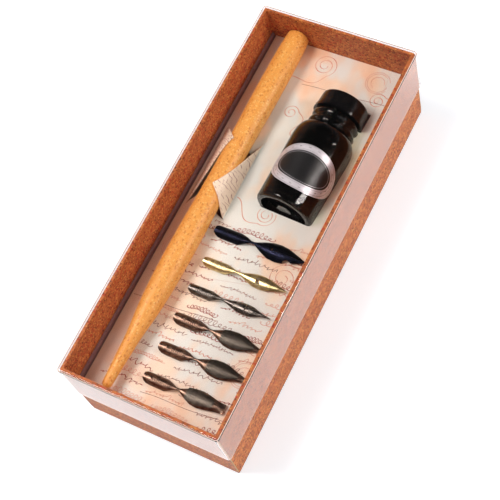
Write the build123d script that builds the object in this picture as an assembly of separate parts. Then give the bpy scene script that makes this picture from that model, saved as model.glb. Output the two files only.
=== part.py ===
from build123d import *
import math
import os

# Calligraphy set box. Millimetres. The origin is the centre of the underside.
# X runs across the short side, Y along the long side towards the back, Z is up.

# ---- clear plastic lid ----
LID_LENGTH = 178.0
LID_WIDTH = 70.4
LID_TOP_Z = 44.5
LID_SKIRT = 23.7
LID_SHEET = 0.5
LID_SIDE_GAP = 0.5
LID_SEAT_GAP = 0.3
LID_EDGE_RADIUS = 0.9
LID_CORNER_RADIUS = 1.2

# ---- paper-covered board tray ----
WRAP = 0.15
BASE_PAPER = 0.2
BASE_PAPER_MARGIN = 3.0
TURN_UNDER = 12.0
BOARD = 0.8
TURN_IN = 20.0
BOARD_SLIT = 0.2
TRAY_CORNER_RADIUS = 0.6
STAY = 0.1
STAY_REACH = 14.0
STAY_MARGIN = 2.0
STRIP = 1.05
STRIP_WALL_GAP = 0.1
STRIP_END_GAP = 0.3
STRIP_PROUD = 1.6

# ---- raised card ----
CARD = 0.4
PRINT = 0.1
INSERT_TOP_Z = 26.7
CARD_GAP = 0.2
CARD_GAP_LEFT = 1.7
CARD_FLOOR_GAP = 0.05
FLAP_SLIT = 0.4
FLAP_SLIT_INSET = 3.0

# ---- pen holder ----
PEN_X = -19.3
PEN_TAIL_GAP = 1.9
PEN_BACK_GAP = 0.2
PEN_SEAT_GAP = 0.05
PEN_NOSE_RADIUS = 3.9
PEN_NOSE_ROUND = 1.0
PEN_BELLY_RADIUS = 5.4
PEN_TAIL_RADIUS = 2.05
# radius of the holder at distances from its back end
PEN_STATIONS = (
    (1.0, 4.75),
    (5.0, 5.1),
    (12.0, 5.33),
    (34.0, 5.4),
    (56.0, 5.05),
    (70.0, 4.97),
    (86.0, 5.15),
    (106.0, 5.4),
    (121.0, 5.25),
    (131.0, 4.8),
    (138.7, 4.2),
    (149.0, 3.1),
    (156.0, 2.7),
    (164.0, 2.3),
)
SOCKET_RADIUS = 2.6
SOCKET_WALL = 0.3
SOCKET_LENGTH = 13.0
SOCKET_PROUD = 0.3
SOCKET_FIT = 0.02
CLIP_LENGTH = 9.0
CLIP_WALL = 0.2
CLIP_SLOT = 0.9
CLIP_SLOTS = 4
CLIP_RING = 2.0
CLIP_PINCH = 0.55

# ---- the two card tongues that hold the pen ----
TONGUE_CARD_EDGE = 1.1
TONGUE_CREASE_RIGHT = 7.5
TONGUE_LEFT_LENGTH = 38.6
TONGUE_RIGHT_LENGTH = 38.5
TONGUE_LEFT_REACH = 15.0
TONGUE_RIGHT_REACH = 14.5
TONGUE_RIGHT_Y = -1.7
TONGUE_LEFT_Y = 37.5
TONGUE_BULGE = 1.2
TONGUE_RING = 5.3
TONGUE_FLAT = 0.3
TONGUE_TIP_WIDTH = 0.4
TONGUE_STEPS = 5
SLIT = 0.15

# ---- ink bottle, lying with its cap to the back ----
BOTTLE_X = 11.9
BOTTLE_Z = 30.0
BOTTLE_PIVOT_Y = 36.0
BOTTLE_TURN = -2.5
BOTTLE_BASE_Y = 9.0
BOTTLE_RADIUS = 12.4
SHOULDER_RADIUS = 13.0
BOTTLE_HEEL = 1.6
BOTTLE_WALL = 1.8
BOTTLE_BASE_WALL = 3.4
BOTTLE_PUNT = 0.8
BODY_LENGTH = 29.6
SHOULDER_LENGTH = 9.7
SHOULDER_NECK_RADIUS = 9.4
BEAD_RADIUS = 10.3
BEAD_LENGTH = 3.3
BEAD_GROOVE = 0.6
FINISH_RADIUS = 8.0
FINISH_LENGTH = 5.4
BORE_RADIUS = 5.2
INK_GAP = 0.04
INK_NECK_FREE = 11.8
CAP_RADIUS = 11.0
CAP_TOP_RADIUS = 10.5
CAP_LENGTH = 8.3
CAP_TOP_WALL = 1.9
CAP_EDGE = 1.5
CAP_RIM = 1.3
CAP_FIT = 0.5
CAP_BEAD_GAP = 0.3
LINER = 1.0
LINER_GAP = 0.05
LINER_SIDE_GAP = 0.3
LABEL = 0.1
LABEL_GAP = 0.03
LABEL_WIDTH = 32.0
LABEL_LENGTH = 19.6
LABEL_FROM_BASE = 16.3
LABEL_ROLL = 15.0
LABEL_POINTS = 40
WINDOW_GAP = 0.2
WINDOW_CAP_GAP = 0.8

# ---- nibs: stations run from the butt to the point ----
NIB_SHEET = 0.28
NIB_SEAT_GAP = 0.05
NIB_SLIT = 0.12
SHANK_HEIGHT = 2.3
SHANK_BUTT = 0.045
SHANK_END = 0.27
WAIST_AT = 0.425
WAIST_WIDTH = 0.9
BODY_AT = 0.70
POINT_RISE = 1.3
SHANK_HOLE_RADIUS = 0.45
SHANK_HOLE_AT = 0.11
RESERVOIR_SHEET = 0.25
RESERVOIR_GAP = 0.04
RESERVOIR_FLATNESS = 0.62
RESERVOIR_COLLAR = 1.1

# flank is the width at nine tenths of the length as a share of the body width
NIBS = {
    "nib_1": dict(x=-12.1, y=-7.2, length=40.3, shank=5.3, body=7.8, arch=2.0, flank=0.46, point=0.6),
    "nib_2": dict(x=-10.1, y=-21.2, length=36.9, shank=4.5, body=5.9, arch=1.7, flank=0.40, point=0.4),
    "nib_3": dict(x=-10.2, y=-33.8, length=36.2, shank=4.1, body=4.8, arch=1.5, flank=0.24, point=0.4),
    "nib_4": dict(x=-9.6, y=-47.2, length=38.2, shank=5.1, body=7.5, arch=1.7, flank=0.44, point=1.1),
    "nib_5": dict(x=-9.4, y=-60.2, length=38.0, shank=5.1, body=7.3, arch=1.7, flank=0.46, point=1.8),
    "nib_6": dict(x=-9.0, y=-73.6, length=35.3, shank=5.0, body=7.1, arch=1.7, flank=0.62, point=4.0),
}
VENT_RADIUS = {"nib_1": 0.6, "nib_2": 1.5, "nib_3": 0.5, "nib_4": 0.6, "nib_5": 0.6, "nib_6": 0.6}
VENT_AT = {"nib_1": 0.64, "nib_2": 0.68, "nib_3": 0.70, "nib_4": 0.66, "nib_5": 0.66, "nib_6": 0.66}
RESERVOIRS = {
    "reservoir_4": dict(nib="nib_4", start=0.56, end=0.93),
    "reservoir_5": dict(nib="nib_5", start=0.57, end=0.92),
    "reservoir_6": dict(nib="nib_6", start=0.54, end=0.87),
}

# ---- derived sizes ----
TRAY_LENGTH = LID_LENGTH - 2 * (LID_SHEET + LID_SIDE_GAP)
TRAY_WIDTH = LID_WIDTH - 2 * (LID_SHEET + LID_SIDE_GAP)
RIM_Z = LID_TOP_Z - LID_SHEET - LID_SEAT_GAP
BOARD_LENGTH = TRAY_LENGTH - 2 * WRAP
BOARD_WIDTH = TRAY_WIDTH - 2 * WRAP
BOARD_BOTTOM_Z = BASE_PAPER + WRAP
BOARD_TOP_Z = RIM_Z - WRAP
FLOOR_Z = BOARD_BOTTOM_Z + BOARD
BOARD_IN_LENGTH = BOARD_LENGTH - 2 * BOARD
BOARD_IN_WIDTH = BOARD_WIDTH - 2 * BOARD
IN_LENGTH = BOARD_IN_LENGTH - 2 * WRAP
IN_WIDTH = BOARD_IN_WIDTH - 2 * WRAP
TURN_IN_Z = RIM_Z - TURN_IN

CARD_TOP_Z = INSERT_TOP_Z - PRINT
CARD_BOTTOM_Z = FLOOR_Z + CARD_FLOOR_GAP
CARD_LEFT = -IN_WIDTH / 2 + CARD_GAP_LEFT
CARD_RIGHT = IN_WIDTH / 2 - CARD_GAP
CARD_HALF_LENGTH = IN_LENGTH / 2 - CARD_GAP
TONGUE_CREASE_LEFT = PEN_X - CARD_LEFT - TONGUE_CARD_EDGE

PEN_BACK = IN_LENGTH / 2 - PEN_BACK_GAP
PEN_TAIL = -IN_LENGTH / 2 + PEN_TAIL_GAP
PEN_Z = INSERT_TOP_Z + PEN_BELLY_RADIUS + PEN_SEAT_GAP

SHOULDER_Y = BOTTLE_BASE_Y + BODY_LENGTH
NECK_Y = SHOULDER_Y + SHOULDER_LENGTH
FINISH_Y = NECK_Y + 2 * BEAD_LENGTH + BEAD_GROOVE
MOUTH_Y = FINISH_Y + FINISH_LENGTH
CAP_OPEN_Y = FINISH_Y + CAP_BEAD_GAP
CAP_TOP_Y = CAP_OPEN_Y + CAP_LENGTH
CAP_INSIDE_Y = CAP_TOP_Y - CAP_TOP_WALL


def block(x, y, z):
    """A box given by its low and high X, Y and Z."""
    size = (x[1] - x[0], y[1] - y[0], z[1] - z[0])
    return Pos(x[0], y[0], z[0]) * Box(*size, align=(Align.MIN, Align.MIN, Align.MIN))


def centred(width, length, z):
    """A box centred on the Z axis, between two heights."""
    return block((-width / 2, width / 2), (-length / 2, length / 2), z)


def turned(profile):
    """A solid turned about the Y axis, from a closed profile in (radius, y)."""
    return revolve(make_face(profile), Axis.Y, 360)


def at_pen(shape):
    """Move a shape built on the Y axis onto the pen's axis."""
    return Pos(PEN_X, 0, PEN_Z) * shape


def at_bottle(shape):
    """Move a shape built on the Y axis onto the bottle's axis, which lies slightly askew."""
    place = Pos(BOTTLE_X, BOTTLE_PIVOT_Y, BOTTLE_Z) * Rot(0, 0, BOTTLE_TURN)
    return place * Pos(0, -BOTTLE_PIVOT_Y, 0) * shape


def outline(*points):
    """A closed polygon in (radius, y)."""
    return Polyline(*points, close=True)


# ---------------------------------------------------------------- tray
def tray_board():
    """Board blank folded up: the walls stand on the floor's edges, slit apart at the corners."""
    body = centred(BOARD_WIDTH, BOARD_LENGTH, (BOARD_BOTTOM_Z, BOARD_TOP_Z))
    body -= centred(BOARD_IN_WIDTH, BOARD_IN_LENGTH, (FLOOR_Z, BOARD_TOP_Z + 1))
    for sx in (-1, 1):
        for sy in (-1, 1):
            inner = (sx * BOARD_IN_WIDTH / 2, sy * (BOARD_IN_LENGTH / 2 - BOARD_SLIT))
            outer = (sx * (BOARD_WIDTH / 2 + 1), inner[1] + sy * BOARD_SLIT)
            x = sorted((inner[0] - sx, outer[0]))
            y = sorted((inner[1], outer[1]))
            body -= block(x, y, (FLOOR_Z, BOARD_TOP_Z + 1))
    return body


def stays(grow=0.0):
    """Paper tapes folded round the four outer corners of the board."""
    low = BOARD_BOTTOM_Z + STAY_MARGIN - grow
    high = BOARD_TOP_Z - STAY_MARGIN + grow
    skin = centred(BOARD_WIDTH + 2 * STAY, BOARD_LENGTH + 2 * STAY, (low, high))
    skin -= centred(BOARD_WIDTH, BOARD_LENGTH, (low - 1, high + 1))
    keep = None
    for sx in (-1, 1):
        for sy in (-1, 1):
            x = sorted((sx * (BOARD_WIDTH / 2 - STAY_REACH - grow), sx * BOARD_WIDTH))
            y = sorted((sy * (BOARD_LENGTH / 2 - STAY_REACH - grow), sy * BOARD_LENGTH))
            corner = block(x, y, (low, high))
            keep = corner if keep is None else keep + corner
    return skin & keep


def wrap_paper():
    """One sheet: outside of the walls, over the rim, turned in, and turned under the floor."""
    body = centred(TRAY_WIDTH, TRAY_LENGTH, (BASE_PAPER, RIM_Z))
    body = fillet(body.edges().filter_by(Axis.Z), TRAY_CORNER_RADIUS)
    body -= centred(BOARD_WIDTH, BOARD_LENGTH, (BOARD_BOTTOM_Z, BOARD_TOP_Z))
    body -= centred(
        BOARD_WIDTH - 2 * TURN_UNDER, BOARD_LENGTH - 2 * TURN_UNDER, (0, BOARD_BOTTOM_Z)
    )
    body -= centred(IN_WIDTH, IN_LENGTH, (BOARD_BOTTOM_Z, RIM_Z + 1))
    skin = centred(BOARD_IN_WIDTH, BOARD_IN_LENGTH, (TURN_IN_Z, BOARD_TOP_Z))
    skin -= centred(IN_WIDTH, IN_LENGTH, (TURN_IN_Z - 1, RIM_Z + 1))
    return body + skin - stays(grow=0.02)


def base_paper():
    """Sheet under the floor that hides the turned-under edges."""
    width = TRAY_WIDTH - 2 * BASE_PAPER_MARGIN
    length = TRAY_LENGTH - 2 * BASE_PAPER_MARGIN
    return centred(width, length, (0, BASE_PAPER))


def side_strip():
    """Packing strip of bare board on edge between the left wall and the raised card."""
    low_x = STRIP_WALL_GAP - IN_WIDTH / 2
    half_length = IN_LENGTH / 2 - STRIP_END_GAP
    top_z = INSERT_TOP_Z + STRIP_PROUD
    return block((low_x, low_x + STRIP), (-half_length, half_length), (CARD_BOTTOM_Z, top_z))


# ---------------------------------------------------------------- lid
def lid():
    """Open box of clear sheet with softly folded edges."""
    skirt_z = LID_TOP_Z - LID_SKIRT
    body = centred(LID_WIDTH, LID_LENGTH, (skirt_z, LID_TOP_Z))
    body = fillet(body.edges().filter_by(Axis.Z), LID_CORNER_RADIUS)
    body = fillet(body.faces().sort_by(Axis.Z)[-1].edges(), LID_EDGE_RADIUS)
    inner = centred(
        LID_WIDTH - 2 * LID_SHEET, LID_LENGTH - 2 * LID_SHEET, (skirt_z - 1, LID_TOP_Z - LID_SHEET)
    )
    inner = fillet(inner.edges().filter_by(Axis.Z), LID_CORNER_RADIUS - LID_SHEET)
    return body - inner


# ---------------------------------------------------------------- bottle
def glass_outside(grow=0.0):
    """Edges of the glass's outer outline, from the base up to the mouth."""
    r = BOTTLE_RADIUS + grow
    shoulder = SHOULDER_RADIUS + grow
    heel = BOTTLE_HEEL + grow
    y0 = BOTTLE_BASE_Y - grow
    neck = SHOULDER_NECK_RADIUS + grow
    lean = (SHOULDER_RADIUS - BOTTLE_RADIUS, BODY_LENGTH)
    lines = [Line((0, y0), (r - heel, y0))]
    lines.append(RadiusArc((r - heel, y0), (r, y0 + heel), -heel))
    lines.append(Line((r, y0 + heel), (shoulder, SHOULDER_Y)))
    lines.append(Spline((shoulder, SHOULDER_Y), (neck, NECK_Y), tangents=(lean, (-0.95, 0.3))))
    y = NECK_Y
    bead = BEAD_RADIUS + grow
    for number in range(2):
        step = (neck, y)
        lines.append(ThreePointArc(step, (bead, y + BEAD_LENGTH / 2), (neck, y + BEAD_LENGTH)))
        y += BEAD_LENGTH
        if number == 0:
            lines.append(Line((neck, y), (neck, y + BEAD_GROOVE)))
            y += BEAD_GROOVE
    return lines


def glass_bore(gap, end_y):
    """Edges of the cavity's outline: body, shoulder and neck bore up to end_y."""
    r = BOTTLE_RADIUS - BOTTLE_WALL - gap
    shoulder = SHOULDER_RADIUS - BOTTLE_WALL - gap
    heel = BOTTLE_HEEL - gap
    y0 = BOTTLE_BASE_Y + BOTTLE_BASE_WALL + gap
    bore = BORE_RADIUS - gap
    shoulder_end = NECK_Y - BOTTLE_WALL
    lean = (SHOULDER_RADIUS - BOTTLE_RADIUS, BODY_LENGTH)
    lines = [Line((0, y0), (r - heel, y0))]
    lines.append(RadiusArc((r - heel, y0), (r, y0 + heel), -heel))
    lines.append(Line((r, y0 + heel), (shoulder, SHOULDER_Y)))
    lines.append(
        Spline((shoulder, SHOULDER_Y), (bore, shoulder_end), tangents=(lean, (-0.95, 0.3)))
    )
    lines.append(Line((bore, shoulder_end), (bore, end_y)))
    lines.append(Line((bore, end_y), (0, end_y)))
    lines.append(Line((0, end_y), (0, y0)))
    return lines


def bottle_glass():
    """Round bottle with heel, shoulder, two neck beads, plain finish and a punt in the base."""
    edges = glass_outside()
    edges.append(Line((SHOULDER_NECK_RADIUS, FINISH_Y), (FINISH_RADIUS, FINISH_Y)))
    edges.append(Line((FINISH_RADIUS, FINISH_Y), (FINISH_RADIUS, MOUTH_Y)))
    edges.append(Line((FINISH_RADIUS, MOUTH_Y), (0, MOUTH_Y)))
    edges.append(Line((0, MOUTH_Y), (0, BOTTLE_BASE_Y)))
    glass = turned(Curve() + edges) - turned(Curve() + glass_bore(0.0, MOUTH_Y + 1))
    punt_width = BOTTLE_RADIUS - BOTTLE_HEEL - 0.8
    punt_radius = (punt_width**2 + BOTTLE_PUNT**2) / (2 * BOTTLE_PUNT)
    punt_y = BOTTLE_BASE_Y + BOTTLE_PUNT - punt_radius
    return at_bottle(glass - Pos(0, punt_y, 0) * Sphere(punt_radius))


def ink():
    """Ink filling the glass up into the neck."""
    return at_bottle(turned(Curve() + glass_bore(INK_GAP, MOUTH_Y - INK_NECK_FREE)))


def cap_shell():
    """Screw cap with a rounded top edge, a slight taper and a rim at the open end."""
    rim_y = CAP_OPEN_Y + CAP_RIM
    edge_y = CAP_TOP_Y - CAP_EDGE
    bore = FINISH_RADIUS + CAP_FIT
    step = CAP_RADIUS - CAP_TOP_RADIUS
    edges = [
        Line((bore, CAP_OPEN_Y), (CAP_RADIUS, CAP_OPEN_Y)),
        Line((CAP_RADIUS, CAP_OPEN_Y), (CAP_RADIUS, rim_y)),
        Line((CAP_RADIUS, rim_y), (CAP_RADIUS - step / 2, rim_y + step / 2)),
        Line((CAP_RADIUS - step / 2, rim_y + step / 2), (CAP_TOP_RADIUS, edge_y)),
        RadiusArc((CAP_TOP_RADIUS, edge_y), (CAP_TOP_RADIUS - CAP_EDGE, CAP_TOP_Y), -CAP_EDGE),
        Line((CAP_TOP_RADIUS - CAP_EDGE, CAP_TOP_Y), (0, CAP_TOP_Y)),
        Line((0, CAP_TOP_Y), (0, CAP_INSIDE_Y)),
        Line((0, CAP_INSIDE_Y), (bore, CAP_INSIDE_Y)),
        Line((bore, CAP_INSIDE_Y), (bore, CAP_OPEN_Y)),
    ]
    return at_bottle(turned(Curve() + edges))


def cap_liner():
    """Sealing disc between the cap's top and the bottle's mouth."""
    radius = FINISH_RADIUS + CAP_FIT - LINER_SIDE_GAP
    low = CAP_INSIDE_Y - LINER_GAP - LINER
    high = CAP_INSIDE_Y - LINER_GAP
    return at_bottle(turned(outline((0, low), (radius, low), (radius, high), (0, high))))


def glass_radius(y):
    """Outer radius of the glass's straight tapering side at y."""
    share = (y - BOTTLE_BASE_Y - BOTTLE_HEEL) / (BODY_LENGTH - BOTTLE_HEEL)
    return BOTTLE_RADIUS + (SHOULDER_RADIUS - BOTTLE_RADIUS) * share


def label():
    """Oval label bent round the upper side of the glass.

    A label point at arc length s from the crest lies at the angle s / radius.
    """
    centre_y = BOTTLE_BASE_Y + LABEL_FROM_BASE
    low_y = centre_y - LABEL_LENGTH / 2 - 0.5
    high_y = centre_y + LABEL_LENGTH / 2 + 0.5
    low, high = glass_radius(low_y) + LABEL_GAP, glass_radius(high_y) + LABEL_GAP
    skin = turned(
        outline((low, low_y), (low + LABEL, low_y), (high + LABEL, high_y), (high, high_y))
    )
    radius = glass_radius(centre_y)
    points = []
    for number in range(LABEL_POINTS):
        turn = 2 * math.pi * number / LABEL_POINTS
        along = LABEL_WIDTH / 2 * math.cos(turn)
        side = 1.05 * radius * math.sin(along / radius)
        points.append((side, centre_y + LABEL_LENGTH / 2 * math.sin(turn)))
    prism = extrude(make_face(outline(*points)), 2 * radius)
    return at_bottle(Rot(0, LABEL_ROLL, 0) * (skin & prism))


def bottle_window():
    """Prism through the card that follows the lying bottle's outline at the card's top."""
    edges = glass_outside(WINDOW_GAP)
    cap = CAP_RADIUS + WINDOW_GAP
    end_y = CAP_TOP_Y + WINDOW_CAP_GAP
    neck = SHOULDER_NECK_RADIUS + WINDOW_GAP
    edges.append(Line((neck, FINISH_Y), (cap, FINISH_Y)))
    edges.append(Line((cap, FINISH_Y), (cap, end_y)))
    edges.append(Line((cap, end_y), (0, end_y)))
    edges.append(Line((0, end_y), (0, BOTTLE_BASE_Y - WINDOW_GAP)))
    envelope = at_bottle(turned(Curve() + edges))
    faces = section(envelope, section_by=Plane.XY.offset(INSERT_TOP_Z))
    return extrude(Pos(0, 0, -2 * CARD) * faces, 4 * CARD)


# ---------------------------------------------------------------- raised card
def tongue_sides(s, side):
    """Distances along the crease, from a tongue's free end, of its two cut sides at reach s.

    The free side bows outwards. The other side is the straight cut shared by both tongues.
    """
    if side > 0:
        length, other, reach = TONGUE_RIGHT_LENGTH, TONGUE_LEFT_LENGTH, TONGUE_RIGHT_REACH
    else:
        length, other, reach = TONGUE_LEFT_LENGTH, TONGUE_RIGHT_LENGTH, TONGUE_LEFT_REACH
    share = s / reach
    width = TONGUE_CREASE_LEFT + TONGUE_CREASE_RIGHT
    stagger = TONGUE_LEFT_Y - TONGUE_RIGHT_Y - other
    rise = (length - stagger) / width
    free = (length - rise * reach) * share
    free -= TONGUE_BULGE * 4 * share * (1 - share)
    return free, length - rise * s


def tongue_hole():
    """Outline of the hole that the two raised tongues leave in the card."""
    left = PEN_X - TONGUE_CREASE_LEFT
    right = PEN_X + TONGUE_CREASE_RIGHT
    shares = [step / TONGUE_STEPS for step in range(TONGUE_STEPS + 1)]
    points = []
    for share in shares:
        s = share * TONGUE_RIGHT_REACH
        points.append((right - s, TONGUE_RIGHT_Y + tongue_sides(s, 1)[0]))
    points.append((left, TONGUE_LEFT_Y - TONGUE_LEFT_LENGTH))
    for share in shares:
        s = share * TONGUE_LEFT_REACH
        points.append((left + s, TONGUE_LEFT_Y - tongue_sides(s, -1)[0]))
    points.append((right, TONGUE_RIGHT_Y + TONGUE_RIGHT_LENGTH))
    face = make_face(outline(*points))
    return extrude(Pos(0, 0, INSERT_TOP_Z - 2 * CARD) * face, 4 * CARD)


def platform_card():
    """Card folded down on all four sides into legs, with the corners slit."""
    x = (CARD_LEFT, CARD_RIGHT)
    y = (-CARD_HALF_LENGTH, CARD_HALF_LENGTH)
    body = block(x, y, (CARD_BOTTOM_Z, CARD_TOP_Z))
    inside_x = (x[0] + CARD, x[1] - CARD)
    inside_y = (y[0] + CARD, y[1] - CARD)
    body -= block(inside_x, inside_y, (CARD_BOTTOM_Z - 1, CARD_TOP_Z - CARD))
    for side in y:
        for edge in (x[0] + FLAP_SLIT_INSET, x[1] - FLAP_SLIT_INSET):
            slit_x = (edge - FLAP_SLIT / 2, edge + FLAP_SLIT / 2)
            slit_y = (side - 2 * CARD, side + 2 * CARD)
            body -= block(slit_x, slit_y, (CARD_BOTTOM_Z - 1, CARD_TOP_Z - CARD))
    return body - bottle_window() - tongue_hole()


def printed_sheet():
    """Printed paper laminated on the card, cut through with it."""
    x = (CARD_LEFT, CARD_RIGHT)
    y = (-CARD_HALF_LENGTH, CARD_HALF_LENGTH)
    return block(x, y, (CARD_TOP_Z, INSERT_TOP_Z)) - bottle_window() - tongue_hole()


def tongue_path(crease, length):
    """Stations (arc length, side, height, slope) of a tongue's middle line.

    It leaves the card level, rises on the tangent to the pen, then bends over it.
    Side and height are measured from the pen's axis.
    """
    sheet = CARD + PRINT
    drop = PEN_Z - INSERT_TOP_Z + sheet / 2
    ring = TONGUE_RING + sheet / 2
    foot = crease - TONGUE_FLAT
    reach = math.hypot(foot, drop)
    tangent = math.sqrt(reach**2 - ring**2)
    slope = math.atan2(drop, foot) + math.asin(ring / reach)
    stations = [(0.0, crease, -drop, 0.0), (TONGUE_FLAT, foot, -drop, slope / 2)]
    for step in range(1, TONGUE_STEPS):
        run = tangent * step / TONGUE_STEPS
        side = foot - run * math.cos(slope)
        stations.append((TONGUE_FLAT + run, side, run * math.sin(slope) - drop, slope))
    arc_length = length - TONGUE_FLAT - tangent
    for step in range(TONGUE_STEPS + 1):
        arc = arc_length * step / TONGUE_STEPS
        bend = slope - arc / ring
        s = TONGUE_FLAT + tangent + arc
        stations.append((s, ring * math.sin(bend), ring * math.cos(bend), bend))
    return stations


def tongue(side, crease, length, free_y, slit):
    """One raised tongue, a ruled loft of cross-strips that narrow to the tip.

    side is +1 for the tongue creased on the pen's right, whose free end is to the front.
    """
    half = (CARD + PRINT) / 2
    strips = []
    for s, out, height, slope in tongue_path(crease, length):
        free, shared = tongue_sides(s, side)
        free += slit
        shared = max(shared - slit, free + TONGUE_TIP_WIDTH)
        y1, y2 = free_y + side * free, free_y + side * shared
        lean = half / math.cos(slope) if s == TONGUE_FLAT else half
        dx, dz = side * lean * math.sin(slope), lean * math.cos(slope)
        x, z = PEN_X + side * out, PEN_Z + height
        low, high = (x - dx, z - dz), (x + dx, z + dz)
        corners = [
            (low[0], y1, low[1]), (high[0], y1, high[1]), (high[0], y2, high[1]), (low[0], y2, low[1])
        ]
        strips.append(make_face(Polyline(*corners, close=True)))
    return loft(strips, ruled=True)


# ---------------------------------------------------------------- pen holder
def pen_shaft():
    """Turned wooden holder: rounded grip end, slight waist, belly, and a thin tail."""
    nose_y = PEN_BACK - SOCKET_PROUD
    end_y = PEN_TAIL + PEN_TAIL_RADIUS
    first_y = PEN_BACK - PEN_STATIONS[0][0]
    first = (PEN_STATIONS[0][1], first_y)
    body = [(radius, PEN_BACK - back) for back, radius in PEN_STATIONS]
    edges = [
        Line((0, nose_y), (PEN_NOSE_RADIUS, nose_y)),
        RadiusArc(first, (PEN_NOSE_RADIUS, nose_y), PEN_NOSE_ROUND),
        Spline(*body, (PEN_TAIL_RADIUS, end_y)),
        RadiusArc((PEN_TAIL_RADIUS, end_y), (0, PEN_TAIL), PEN_TAIL_RADIUS),
        Line((0, PEN_TAIL), (0, nose_y)),
    ]
    shaft = turned(Curve() + edges)
    bore = SOCKET_RADIUS + SOCKET_FIT
    depth = nose_y - SOCKET_LENGTH
    hole = outline((0, depth), (bore, depth), (bore, nose_y + 1), (0, nose_y + 1))
    return at_pen(shaft - turned(hole))


def pen_socket():
    """Metal tube lining the bore of the grip end, standing slightly proud."""
    low = PEN_BACK - SOCKET_PROUD - SOCKET_LENGTH + SOCKET_FIT
    inside = SOCKET_RADIUS - SOCKET_WALL
    ring = outline((inside, low), (SOCKET_RADIUS, low), (SOCKET_RADIUS, PEN_BACK), (inside, PEN_BACK))
    return at_pen(turned(ring))


def pen_clip():
    """Slotted spring tube whose four leaves pinch inwards towards the mouth."""
    low = PEN_BACK - SOCKET_PROUD - SOCKET_LENGTH + 0.5
    ring_y = low + CLIP_RING
    high = low + CLIP_LENGTH
    outer = SOCKET_RADIUS - SOCKET_WALL - SOCKET_FIT
    inner = outer - CLIP_WALL
    ring = outline(
        (inner, low), (outer, low), (outer, ring_y), (outer - CLIP_PINCH, high),
        (inner - CLIP_PINCH, high), (inner, ring_y),
    )
    clip = turned(ring)
    slot = block((-CLIP_SLOT / 2, CLIP_SLOT / 2), (ring_y, high + 1), (0, 2 * outer))
    for number in range(CLIP_SLOTS):
        turn = 360 / CLIP_SLOTS * number + 45
        clip -= Rot(0, turn, 0) * slot
    return at_pen(clip)


# ---------------------------------------------------------------- nibs
def arch_band(x, width, crest, arch, sheet):
    """Thin arched cross-section at x: an outer arc and a concentric-looking inner arc."""
    half = width / 2
    foot = crest - arch
    outer = ThreePointArc((x, -half, foot), (x, 0, crest), (x, half, foot))
    tuck = min(sheet * 0.9, half * 0.45)
    inner = ThreePointArc((x, half - tuck, foot), (x, 0, crest - sheet), (x, tuck - half, foot))
    right = Line((x, half, foot), (x, half - tuck, foot))
    left = Line((x, tuck - half, foot), (x, -half, foot))
    return make_face(Curve() + [outer, right, inner, left])


def nib_stations(nib):
    """Station list (share of length, width, crest height, arch height) of a nib."""
    top = SHANK_HEIGHT + NIB_SHEET
    shank, body, arch = nib["shank"], nib["body"], nib["arch"]
    return [
        (0.0, shank * 0.52, top, SHANK_HEIGHT * 0.16),
        (SHANK_BUTT * 0.45, shank * 0.80, top, SHANK_HEIGHT * 0.45),
        (SHANK_BUTT, shank * 0.95, top, SHANK_HEIGHT * 0.80),
        (SHANK_BUTT * 2, shank, top, SHANK_HEIGHT),
        (SHANK_END, shank, top, SHANK_HEIGHT),
        ((SHANK_END + WAIST_AT) / 2, shank * 0.58, top, SHANK_HEIGHT * 0.38),
        (WAIST_AT - 0.02, WAIST_WIDTH * 1.15, top - 0.1, 0.36),
        (WAIST_AT + 0.02, WAIST_WIDTH * 1.15, top - 0.1, 0.36),
        (WAIST_AT + 0.10, body * 0.56, top - 0.05, arch * 0.60),
        (BODY_AT - 0.09, body * 0.92, top, arch * 0.95),
        (BODY_AT, body, top, arch),
        (BODY_AT + 0.08, body * 0.88, top - 0.1, arch * 0.82),
        (0.90, body * nib["flank"], top - 0.45, arch * nib["flank"]),
        (1.0, nib["point"], POINT_RISE + NIB_SHEET, 0.02 + nib["point"] * 0.05),
    ]


def nib_blade(nib):
    """Ruled loft of arched sections, in the nib's own frame with its butt at x = 0."""
    sections = []
    for share, width, crest, arch in nib_stations(nib):
        sections.append(arch_band(share * nib["length"], width, crest, arch, NIB_SHEET))
    return loft(sections, ruled=True)


def nib(name):
    """One nib with its vent, slit, and, on the broad nibs, a hole in the shank."""
    spec = NIBS[name]
    blade = nib_blade(spec)
    vent_x = VENT_AT[name] * spec["length"]
    blade -= Pos(vent_x, 0, 0) * Cylinder(VENT_RADIUS[name], 12)
    blade -= block((vent_x, spec["length"] + 1), (-NIB_SLIT / 2, NIB_SLIT / 2), (-1, 6))
    if name in ("nib_4", "nib_5", "nib_6"):
        blade -= Pos(SHANK_HOLE_AT * spec["length"], 0, 0) * Cylinder(SHANK_HOLE_RADIUS, 12)
    if name == "nib_1":
        shoulder = Pos(0.83 * spec["length"], -spec["body"] / 2, 0) * Cylinder(2.1, 12)
        blade -= shoulder
    if name == "nib_2":
        keep = Pos(vent_x + 1.1, 0, 0) * Cylinder(1.1, 12)
        blade = blade + (nib_blade(spec) & keep) - block(
            (vent_x, spec["length"] + 1), (-NIB_SLIT / 2, NIB_SLIT / 2), (-1, 6)
        )
    if name == "nib_3":
        cross = block((vent_x - 0.2, vent_x + 0.2), (-1.5, 1.5), (-1, 6))
        blade -= cross
    return Pos(spec["x"], spec["y"], INSERT_TOP_Z + NIB_SEAT_GAP) * blade


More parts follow.
